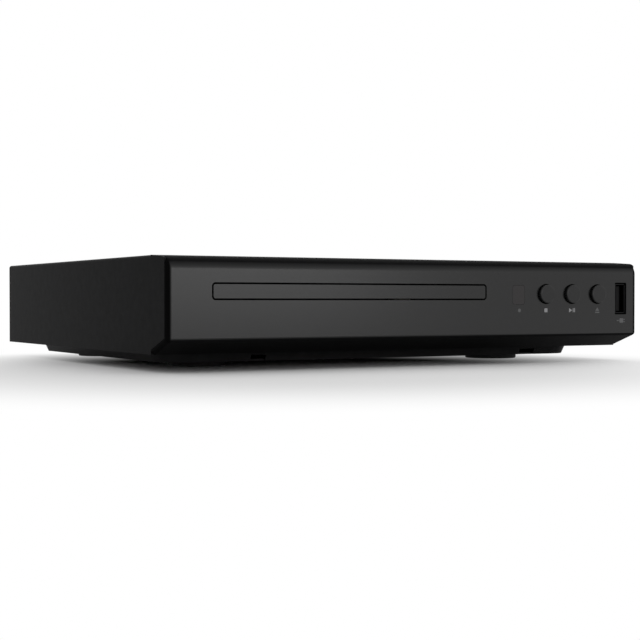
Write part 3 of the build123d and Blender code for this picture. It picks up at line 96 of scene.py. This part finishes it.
class Paint(Nodes):
    """A procedural material: colour, roughness and bump come from noise in the part's own frame."""

    def __init__(self, name, **values):
        self.material = bpy.data.materials.new(name)
        self.material.use_nodes = True
        super().__init__(self.material.node_tree)
        self.shader = self.tree.nodes["Principled BSDF"]
        coordinates = self.node("ShaderNodeTexCoord").outputs
        self.place, self.facing = coordinates["Object"], coordinates["Normal"]
        self.bumped = None
        for key, value in values.items():
            self.shader.inputs[key].default_value = value

    def mapped(self, **values):
        made = self.node("ShaderNodeMapping", values)
        self.link(self.place, made.inputs["Vector"])
        return made.outputs["Vector"]

    def noise(self, scale, detail=3.0, stretch=None):
        made = self.node("ShaderNodeTexNoise", {"Scale": scale, "Detail": detail})
        self.link(self.mapped(Scale=stretch) if stretch else self.place, made.inputs["Vector"])
        return made.outputs["Fac"]

    def cells(self, scale):
        made = self.node("ShaderNodeTexVoronoi", {"Scale": scale})
        self.link(self.place, made.inputs["Vector"])
        return made.outputs["Distance"]

    def blend(self, fac, first, second):
        """A mix of two colours, each given or linked."""
        made = self.node("ShaderNodeMix", data_type="RGBA")
        self.link(fac, made.inputs["Factor"])
        for key, value in (("A", first), ("B", second)):
            socket = [item for item in made.inputs if item.name == key and item.type == "RGBA"][0]
            if isinstance(value, tuple):
                socket.default_value = (*value, 1)
            else:
                self.link(value, socket)
        return [item for item in made.outputs if item.type == "RGBA"][0]

    def mixed(self, fac, first, second):
        """A mix of a linked number and a given one."""
        made = self.node("ShaderNodeMix", {3: second}, data_type="FLOAT")
        self.link(fac, made.inputs[0])
        self.link(first, made.inputs[2])
        return made.outputs[0]

    def split(self, output):
        made = self.node("ShaderNodeSeparateXYZ")
        self.link(output, made.inputs["Vector"])
        return made.outputs

    def edges(self, radius):
        """1 along the part's edges and 0 on its faces, broken up a little."""
        rounded = self.node("ShaderNodeBevel", {"Radius": radius}, samples=4)
        true = self.node("ShaderNodeNewGeometry")
        turned = self.node("ShaderNodeVectorMath", operation="DOT_PRODUCT")
        self.link(rounded.outputs["Normal"], turned.inputs[0])
        self.link(true.outputs["Normal"], turned.inputs[1])
        edge = self.spread(turned.outputs["Value"], 1, 0, 0.8, 0.99)
        return self.calculate("MULTIPLY", edge, self.noise(400))

    def colour(self, source):
        self.link(source, self.shader.inputs["Base Color"])

    def rough(self, source):
        self.link(source, self.shader.inputs["Roughness"])

    def bump(self, source, height):
        made = self.node("ShaderNodeBump", {"Strength": 1.0, "Distance": height})
        self.link(source, made.inputs["Height"])
        if self.bumped:
            self.link(self.bumped, made.inputs["Normal"])
        self.bumped = made.outputs["Normal"]
        self.link(self.bumped, self.shader.inputs["Normal"])


EDGE_WEAR = 0.4 * MM
SHINE = "Specular IOR Level"


def plain(name, dark, light, rough, grain, height, worn=None, **values):
    """A moulded, painted or rubber surface: two near tones, uneven gloss, a fine grain and worn edges.

    The tones come in patches nine times as large as the grain.
    """
    made = Paint(name, **values)
    patches = made.noise(grain / 9, 4.0)
    fine = made.noise(grain)
    made.tone = made.blend(made.spread(patches, 0, 1), dark, light)
    if worn:
        made.tone = made.blend(made.edges(EDGE_WEAR), made.tone, worn)
    made.colour(made.tone)
    made.gloss = made.spread(fine, *rough)
    made.rough(made.gloss)
    made.bump(fine, height)
    return made


def metal(name, dark, light, rough, stretch, grain):
    """A drawn or brushed metal, with its grain along one direction and tones in larger patches."""
    made = Paint(name, Metallic=1.0)
    lines = made.noise(grain, 5.0, stretch)
    patches = made.noise(grain / 12)
    made.colour(made.blend(made.spread(patches, 0, 1), dark, light))
    made.rough(made.spread(lines, *rough))
    made.bump(lines, 0.000004)
    return made


def matt_rim(made, rough, shine, ends):
    """The rounded top, the ends and the underside of the front are eroded matt, unlike its satin face.

    The ends are found by their place and the other two by how far their normals point up or down. The
    ends also get a darker colour, which is painted shade for the dark line between the cover's side and
    the face.
    """
    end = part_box("front_fascia")[1].x
    side = made.calculate("ABSOLUTE", made.split(made.place)["X"])
    at_end = made.spread(side, 0, 1, end - 2.3 * MM, end - 1.4 * MM)
    upward = made.split(made.facing)["Z"]
    underside = made.spread(upward, 1, 0, -0.35, -0.25)
    rounded_top = made.spread(upward, 0, 1, 0.1, 0.6)
    rim = made.calculate("MAXIMUM", rounded_top, made.calculate("MAXIMUM", underside, at_end))
    # The darker colour on the ends is painted shade, not the plastic's own tone.
    made.colour(made.blend(at_end, made.tone, ends))
    made.rough(made.mixed(rim, made.gloss, rough))
    socket = made.shader.inputs[SHINE]
    made.link(made.spread(rim, socket.default_value, shine, 0, 1), socket)


def grey(value):
    """A near-black or grey, a touch towards blue."""
    return (value, value, value * 1.03)


# The case, as the photograph shows it. Each line has the two tones, the least and the most
# roughness, the grain's scale and the grain's height in metres.
cover_paint = plain("cover_paint", grey(0.0085), grey(0.0115), (0.18, 0.28), 2600, 0.000006,
                    worn=grey(0.018), **{SHINE: 0.004})
chassis_paint = plain("chassis_paint", grey(0.02), grey(0.026), (0.45, 0.58), 1800, 0.00001,
                      worn=grey(0.036), **{SHINE: 0.03})
fascia_plastic = plain("fascia_plastic", grey(0.0055), grey(0.007), (0.20, 0.24), 3800, 0.000003,
                       worn=grey(0.009), **{SHINE: 0.36})
# The last colour, grey(0.0025), is painted shade on the front's two ends.
matt_rim(fascia_plastic, 0.6, 0.01, grey(0.0025))
door_plastic = plain("door_plastic", grey(0.0055), grey(0.007), (0.20, 0.24), 3800, 0.000003,
                     worn=grey(0.009), **{SHINE: 0.36})
button_plastic = plain("button_plastic", grey(0.0055), grey(0.007), (0.22, 0.28), 3400, 0.000003,
                       worn=grey(0.009), **{SHINE: 0.33})
window_plastic = plain("window_plastic", (0.011, 0.009, 0.0095), (0.013, 0.01, 0.0105),
                       (0.14, 0.18), 900, 0.000002, **{SHINE: 0.38})
foot_rubber = plain("foot_rubber", grey(0.012), grey(0.02), (0.75, 0.9), 2200, 0.00005)

# Fasteners, sockets and what lies inside. A metal's line has how its grain is stretched and the
# grain's scale after the roughness.
black_screw = metal("black_screw", grey(0.03), grey(0.05), (0.35, 0.5), (1, 1, 1), 1500)
screw_steel = metal("screw_steel", (0.5, 0.5, 0.47), (0.66, 0.65, 0.6), (0.22, 0.38),
                    (1, 1, 1), 1500)
part_black = plain("part_black", grey(0.018), grey(0.03), (0.5, 0.65), 2400, 0.00001)
lamp_lens = plain("lamp_lens", (0.5, 0.03, 0.025), (0.6, 0.05, 0.04), (0.08, 0.16), 700, 0.000002,
                  **{"Transmission Weight": 0.6})
dark_steel = metal("dark_steel", grey(0.012), grey(0.02), (0.3, 0.42), (1, 0.08, 1), 2600)
socket_steel = metal("socket_steel", (0.56, 0.56, 0.54), (0.68, 0.67, 0.65), (0.2, 0.34),
                     (1, 0.08, 1), 2600)
tongue_plastic = plain("tongue_plastic", grey(0.008), grey(0.012), (0.4, 0.5), 2400, 0.00001,
                       **{SHINE: 0.1})
dark_tongue = plain("dark_tongue", grey(0.02), grey(0.03), (0.45, 0.55), 2400, 0.00001)
jack_metal = metal("jack_metal", (0.66, 0.52, 0.24), (0.8, 0.66, 0.36), (0.16, 0.28),
                   (1, 1, 0.2), 1600)
jack_block = plain("jack_block", grey(0.018), grey(0.026), (0.45, 0.58), 2400, 0.00001)
inlet_plastic = plain("inlet_plastic", grey(0.018), grey(0.024), (0.4, 0.52), 2400, 0.00001)
pin_metal = metal("pin_metal", (0.6, 0.58, 0.5), (0.74, 0.72, 0.64), (0.18, 0.3),
                  (1, 0.1, 1), 2200)
sink_metal = metal("sink_metal", (0.5, 0.5, 0.52), (0.64, 0.64, 0.66), (0.3, 0.46),
                   (1, 0.06, 1), 2600)
connector_plastic = plain("connector_plastic", (0.66, 0.63, 0.55), (0.76, 0.73, 0.66),
                          (0.42, 0.55), 1800, 0.00001)
ribbon_film = plain("ribbon_film", (0.62, 0.62, 0.6), (0.74, 0.74, 0.72), (0.25, 0.36),
                    1400, 0.000004)
core_metal = plain("core_metal", grey(0.04), grey(0.07), (0.6, 0.78), 1400, 0.00003)
can_sleeve = plain("can_sleeve", (0.02, 0.022, 0.05), (0.028, 0.03, 0.065), (0.26, 0.36),
                   1200, 0.000004)
loader_plastic = plain("loader_plastic", grey(0.028), grey(0.04), (0.42, 0.55), 2200, 0.00001)
clamp_plastic = plain("clamp_plastic", (0.62, 0.61, 0.57), (0.7, 0.69, 0.65), (0.4, 0.52),
                      1800, 0.00001)
motor_steel = metal("motor_steel", (0.5, 0.5, 0.48), (0.62, 0.61, 0.59), (0.24, 0.38),
                    (1, 1, 0.1), 1800)
gear_plastic = plain("gear_plastic", (0.72, 0.7, 0.62), (0.8, 0.78, 0.71), (0.36, 0.48),
                     1600, 0.000008)
pulley_brass = metal("pulley_brass", (0.6, 0.44, 0.18), (0.74, 0.57, 0.27), (0.2, 0.34),
                     (1, 1, 0.15), 1800)
belt_rubber = plain("belt_rubber", grey(0.012), grey(0.02), (0.6, 0.78), 2200, 0.00002)
damper_rubber = plain("damper_rubber", grey(0.04), grey(0.06), (0.65, 0.82), 2000, 0.00003)
plate_steel = metal("plate_steel", (0.36, 0.36, 0.34), (0.46, 0.45, 0.43), (0.26, 0.42),
                    (0.12, 1, 1), 1500)
rod_steel = metal("rod_steel", (0.7, 0.7, 0.7), (0.8, 0.8, 0.79), (0.08, 0.18), (1, 0.2, 1), 2400)
sled_plastic = plain("sled_plastic", grey(0.035), grey(0.05), (0.48, 0.6), 1900, 0.000014)
lens_glass = plain("lens_glass", (0.5, 0.62, 0.7), (0.58, 0.66, 0.74), (0.02, 0.05),
                   300, 0.0000005, **{"Transmission Weight": 0.7, "IOR": 1.5})


def laminate():
    """Green solder resist with raised tracks and pale through-plated dots."""
    made = Paint("board_laminate", **{SHINE: 0.5})
    tracks = made.node("ShaderNodeTexBrick", {"Scale": 260.0, "Mortar Size": 0.012, "Bias": 0.0,
                                              "Row Height": 0.5})
    made.link(made.place, tracks.inputs["Vector"])
    raised = made.spread(tracks.outputs["Fac"], 0, 1, 0, 1)
    patches = made.spread(made.noise(90, 2.0), 0, 1, 0.45, 0.5)
    tracked = made.calculate("MULTIPLY", raised, patches)
    dots = made.calculate("MULTIPLY", made.spread(made.cells(420), 1, 0, 0.08, 0.12), patches)
    resist = made.blend(made.spread(made.noise(200), 0, 1), (0.008, 0.06, 0.026),
                        (0.012, 0.08, 0.035))
    resist = made.blend(tracked, resist, (0.03, 0.16, 0.07))
    made.colour(made.blend(dots, resist, (0.5, 0.48, 0.4)))
    made.rough(made.spread(made.noise(1500), 0.28, 0.42))
    made.bump(tracked, 0.00003)
    return made


def coloured_rings():
    """Insulators of the rear jacks, each in the usual colour of its signal."""
    made = Paint("jack_inner", **{SHINE: 0.5})
    places, centre, blur = made.split(made.place), middle("jack_insulators"), 0.1 * MM
    right = made.spread(places["X"], 0, 1, centre.x - blur, centre.x + blur)
    upper = made.spread(places["Z"], 0, 1, centre.z - blur, centre.z + blur)
    lower_row = made.blend(right, (0.55, 0.02, 0.02), (0.6, 0.2, 0.02))
    upper_row = made.blend(right, (0.7, 0.7, 0.68), (0.75, 0.55, 0.03))
    made.colour(made.blend(upper, lower_row, upper_row))
    fine = made.noise(2400)
    made.rough(made.spread(fine, 0.35, 0.48))
    made.bump(fine, 0.000008)
    return made


def moulded_tray():
    """Black tray: a satin top, and matt disc recesses with faint turned rings about the disc's middle."""
    made = plain("tray_plastic", grey(0.013), grey(0.017), (0.34, 0.44), 3000, 0.00001,
                 worn=grey(0.05))
    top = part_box("disc_tray")[1].z
    height = made.split(made.place)["Z"]
    raised = made.spread(height, 0, 1, top - 0.6 * MM, top - 0.2 * MM)
    made.colour(made.blend(raised, grey(0.007), made.tone))
    made.rough(made.mixed(made.spread(raised, 1, 0, 0, 1), made.gloss, 0.58))
    rings = made.node("ShaderNodeTexWave", {"Scale": 160.0}, wave_type="RINGS",
                      rings_direction="Z")
    disc_middle = middle("turntable")
    about_disc = made.mapped(Location=(-disc_middle.x, -disc_middle.y, 0))
    made.link(about_disc, rings.inputs["Vector"])
    made.bump(rings.outputs["Fac"], 0.000012)
    return made


board_laminate = laminate()
jack_inner = coloured_rings()
tray_plastic = moulded_tray()
print_ink = plain("print_ink", grey(0.24), grey(0.28), (0.45, 0.55), 3000, 0.000002)
faint_ink = plain("faint_ink", grey(0.065), grey(0.08), (0.45, 0.55), 3000, 0.000002)

finishes = {
    cover_paint: ["top_cover"],
    chassis_paint: ["chassis_base", "rear_panel"],
    fascia_plastic: ["front_fascia"],
    door_plastic: ["tray_door"],
    button_plastic: ["stop_button", "play_button", "open_button"],
    window_plastic: ["ir_window"],
    foot_rubber: ["rubber_feet"],
    black_screw: ["cover_screws"],
    screw_steel: ["front_board_screws", "loader_screws", "grommet_screws", "board_screws"],
    board_laminate: ["front_board", "main_board", "power_board"],
    part_black: ["tact_switches", "ir_receiver", "main_chips", "turntable"],
    lamp_lens: ["status_lamp"],
    dark_steel: ["usb_shell"],
    socket_steel: ["hdmi_shell"],
    tongue_plastic: ["usb_tongue"],
    dark_tongue: ["hdmi_tongue"],
    jack_metal: ["jack_shells"],
    jack_block: ["jack_housing"],
    clamp_plastic: ["clamp_puck"],
    jack_inner: ["jack_insulators"],
    inlet_plastic: ["mains_inlet"],
    pin_metal: ["inlet_pins"],
    sink_metal: ["heat_sink"],
    connector_plastic: ["board_connectors"],
    ribbon_film: ["front_ribbon"],
    core_metal: ["transformer"],
    can_sleeve: ["capacitors"],
    loader_plastic: ["loader_frame", "lifter_frame", "clamp_bridge"],
    tray_plastic: ["disc_tray"],
    motor_steel: ["loading_motor", "spindle_motor", "sled_motor"],
    gear_plastic: ["tray_gear", "pulley_gear", "sled_gear", "cam_slider"],
    pulley_brass: ["motor_pulley", "sled_pinion"],
    belt_rubber: ["drive_belt"],
    damper_rubber: ["damper_grommets", "turntable_pad"],
    plate_steel: ["traverse_plate"],
    rod_steel: ["guide_rods"],
    sled_plastic: ["pickup_sled"],
    lens_glass: ["pickup_lens"],
}
for finish, names in finishes.items():
    for name in names:
        nodes[name].data.materials.clear()
        nodes[name].data.materials.append(finish.material)


# Pieces that dress the solids

def piece(name, finish, body, build):
    mesh = bpy.data.meshes.new(name)
    shape = bmesh.new()
    build(shape)
    bmesh.ops.recalc_face_normals(shape, faces=shape.faces)
    shape.to_mesh(mesh)
    shape.free()
    mesh.materials.append(finish.material)
    made = bpy.data.objects.new(name, mesh)
    bpy.context.scene.collection.objects.link(made)
    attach(made, body)


def slab(shape, corners, low, high, axis):
    """A flat outline pulled between two levels along an axis."""
    order = {"x": (2, 0, 1), "y": (0, 2, 1), "z": (0, 1, 2)}[axis]
    rings = [[shape.verts.new([(u, v, level)[index] for index in order]) for u, v in corners]
             for level in (low, high)]
    shape.faces.new(rings[0])
    shape.faces.new(rings[1])
    for index in range(len(corners)):
        after = (index + 1) % len(corners)
        shape.faces.new((rings[0][index], rings[0][after], rings[1][after], rings[1][index]))


def arc(u, v, radius, start, end, steps):
    """Points on a circle between two angles, with both ends."""
    angles = [start + (end - start) * step / steps for step in range(steps + 1)]
    return [(u + radius * math.cos(angle), v + radius * math.sin(angle)) for angle in angles]


def oblong(u, v, width, height, corner=0.0):
    """Corners of a rectangle about a middle, rounded where asked."""
    half_u, half_v = width / 2 - corner, height / 2 - corner
    if not corner:
        return [(u + side_u * half_u, v + side_v * half_v)
                for side_u, side_v in ((-1, -1), (1, -1), (1, 1), (-1, 1))]
    corners = []
    for turn, (side_u, side_v) in enumerate(((1, 1), (-1, 1), (-1, -1), (1, -1))):
        corners += arc(u + side_u * half_u, v + side_v * half_v, corner,
                       math.pi / 2 * turn, math.pi / 2 * (turn + 1), 4)
    return corners


def disc(u, v, radius):
    return arc(u, v, radius, 0, 2 * math.pi, 28)[:-1]


# Printed marks on the front: plain pictograms under the window, the buttons and the socket
INK = 0.02 * MM
front_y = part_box("front_fascia")[0].y
mark_z = middle("play_button").z - 7.1 * MM
socket_mark_z = middle("usb_shell").z - 9.9 * MM


def mark(name, node, z, ink, outlines):
    """Outlines in millimetres, printed below a node's middle at a height."""
    x = middle(node).x

    def build(shape):
        for outline in outlines:
            placed = [(x + u * MM, z + v * MM) for u, v in outline]
            slab(shape, placed, front_y - INK, front_y, "y")

    piece(name, ink, "case", build)


mark("mark_window", "ir_window", mark_z, faint_ink, [disc(0.4, 0, 0.8)])
mark("mark_stop", "stop_button", mark_z, print_ink, [oblong(0, 0, 1.7, 1.7, 0.15)])
mark("mark_play", "play_button", mark_z, print_ink, [
    [(-1.6, -0.9), (0.1, 0), (-1.6, 0.9)],
    oblong(0.7, 0, 0.45, 1.8),
    oblong(1.5, 0, 0.45, 1.8),
])
mark("mark_open", "open_button", mark_z, faint_ink, [
    [(-1.2, -0.35), (1.2, -0.35), (0, 1.2)],
    oblong(0, -1.0, 2.4, 0.55),
])
mark("mark_socket", "usb_shell", socket_mark_z, faint_ink, [
    oblong(0.5, 0, 2.2, 2.0, 0.3),
    oblong(2.0, 0.5, 1.1, 0.35),
    oblong(2.0, -0.5, 1.1, 0.35),
    oblong(-1.4, 0, 1.8, 0.4),
])


# Contacts in the two digital sockets, and the bare tops of the capacitors
FILM = 0.06 * MM


def usb_contacts(shape):
    """Four strips on the tongue's face, lengthwise from its front end."""
    mouth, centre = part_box("usb_tongue")[0].y, middle("usb_tongue")
    face = centre.x - 0.32 * MM
    strip_y, length, width, corner = mouth + 5.2 * MM, 8.0 * MM, 1.0 * MM, 0.1 * MM
    for offset in (-3.5, -1.1, 1.1, 3.5):
        strip = oblong(strip_y, centre.z + offset * MM, length, width, corner)
        slab(shape, strip, face - FILM, face, "x")


def hdmi_contacts(shape):
    """Ten strips above the tongue and nine below it, one millimetre apart."""
    mouth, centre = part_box("hdmi_tongue")[1].y, middle("hdmi_tongue")
    strip_y, width, length, pitch = mouth - 4.6 * MM, 0.42 * MM, 7.6 * MM, 1.0 * MM
    for side, count in ((1, 10), (-1, 9)):
        face = centre.z + side * 0.5 * MM
        low, high = sorted((face, face + side * FILM))
        for index in range(count):
            x = centre.x + (index - (count - 1) / 2) * pitch
            slab(shape, oblong(x, strip_y, width, length), low, high, "z")


def capacitor_tops(shape):
    """Bare aluminium ends with a cross scored into each, inside the sleeves' rims."""
    low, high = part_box("capacitors")
    radius = (high.x - low.x) / 2
    score, x = 0.25 * MM, middle("capacitors").x
    quarter = [(score, score)]
    quarter += arc(0, 0, 0.8 * radius, math.radians(4), math.radians(84), 10)
    for share in (0, 0.5, 1):
        y = low.y + radius + share * (high.y - low.y - 2 * radius)
        for turn in range(4):
            side, rise = math.cos(turn * math.pi / 2), math.sin(turn * math.pi / 2)
            placed = [(x + u * side - v * rise, y + u * rise + v * side) for u, v in quarter]
            slab(shape, placed, high.z, high.z + FILM, "z")


piece("capacitor_tops", sink_metal, "case", capacitor_tops)
piece("usb_contacts", jack_metal, "case", usb_contacts)
piece("hdmi_contacts", jack_metal, "case", hdmi_contacts)


# Floor, world, lamps and camera. The floor keeps the shadow within FLOOR_KEPT of its middle, in
# metres, and is plain white to the eye beyond FLOOR_WHITE.
WHITE = (1, 1, 1, 1)
FLOOR_TONE = 0.77
FLOOR_MIDDLE = (-0.055, -0.085, 0)
FLOOR_KEPT, FLOOR_WHITE = 0.09, 0.22
AMBIENT = 0.7
LAMP_AIM = Vector((0, -0.02, 0.02))
CAMERA_PLACE = (-0.30571, -0.55872, 0.02743)
CAMERA_YAW, CAMERA_PITCH = math.radians(29.362), math.radians(0.858)
CAMERA_LENS, CAMERA_SENSOR = 74.61, 36.0


def floor():
    bpy.ops.mesh.primitive_plane_add(size=12, location=(0, 0, 0))
    made = bpy.context.object
    made.name = "floor"
    material = bpy.data.materials.new("floor_white")
    material.use_nodes = True
    tree = Nodes(material.node_tree)
    tree.tree.nodes.clear()
    output = tree.node("ShaderNodeOutputMaterial")
    near = tree.node("ShaderNodeBsdfDiffuse", {"Color": (FLOOR_TONE, FLOOR_TONE, FLOOR_TONE, 1)})
    far = tree.node("ShaderNodeEmission", {"Color": WHITE})
    place = tree.node("ShaderNodeTexCoord")
    reach = tree.node("ShaderNodeVectorMath", {1: FLOOR_MIDDLE}, operation="DISTANCE")
    tree.link(place.outputs["Object"], reach.inputs[0])
    fade = tree.spread(reach.outputs["Value"], 0, 1, FLOOR_KEPT, FLOOR_WHITE,
                       interpolation_type="SMOOTHSTEP")
    mix = tree.node("ShaderNodeMixShader")
    tree.link(tree.calculate("MULTIPLY", tree.shown(), fade), mix.inputs["Fac"])
    tree.link(near.outputs["BSDF"], mix.inputs[1])
    tree.link(far.outputs["Emission"], mix.inputs[2])
    tree.link(mix.outputs["Shader"], output.inputs["Surface"])
    made.data.materials.append(material)


def world():
    """White where it is seen, mirrored or looked through, and an even soft light on the surfaces."""
    made = bpy.data.worlds.new("studio")
    bpy.context.scene.world = made
    made.use_nodes = True
    tree = Nodes(made.node_tree)
    tree.tree.nodes.clear()
    background = tree.node("ShaderNodeBackground", {"Color": WHITE})
    output = tree.node("ShaderNodeOutputWorld")
    strength = tree.spread(tree.shown(), AMBIENT, 1, 0, 1)
    tree.link(strength, background.inputs["Strength"])
    tree.link(background.outputs["Background"], output.inputs["Surface"])


def softbox(name, azimuth, elevation, distance, size, power):
    """A rectangular lamp. Azimuth 0 is in front of the part, positive to its right."""
    light = bpy.data.lights.new(name, "AREA")
    light.shape = "RECTANGLE"
    light.size, light.size_y = size
    light.energy = power
    made = bpy.data.objects.new(name, light)
    bpy.context.scene.collection.objects.link(made)
    side, rise = math.radians(azimuth), math.radians(elevation)
    away = Vector((math.sin(side) * math.cos(rise), -math.cos(side) * math.cos(rise), math.sin(rise)))
    made.location = LAMP_AIM + distance * away
    made.rotation_mode = "QUATERNION"
    made.rotation_quaternion = (-away).to_track_quat("-Z", "Y")


def camera():
    data = bpy.data.cameras.new("camera")
    data.lens = CAMERA_LENS
    data.sensor_width = CAMERA_SENSOR
    made = bpy.data.objects.new("camera", data)
    bpy.context.scene.collection.objects.link(made)
    made.location = CAMERA_PLACE
    level = math.cos(CAMERA_PITCH)
    look = Vector((math.sin(CAMERA_YAW) * level, math.cos(CAMERA_YAW) * level, -math.sin(CAMERA_PITCH)))
    made.rotation_mode = "QUATERNION"
    made.rotation_quaternion = look.to_track_quat("-Z", "Y")
    bpy.context.scene.camera = made


floor()
world()
softbox("top_softbox", 150, 60, 1.5, (1.4, 1.4), 8)
softbox("front_softbox", 20, 5.5, 1.6, (0.55, 0.3), 1.3)
camera()
bpy.context.scene.view_settings.view_transform = "Standard"
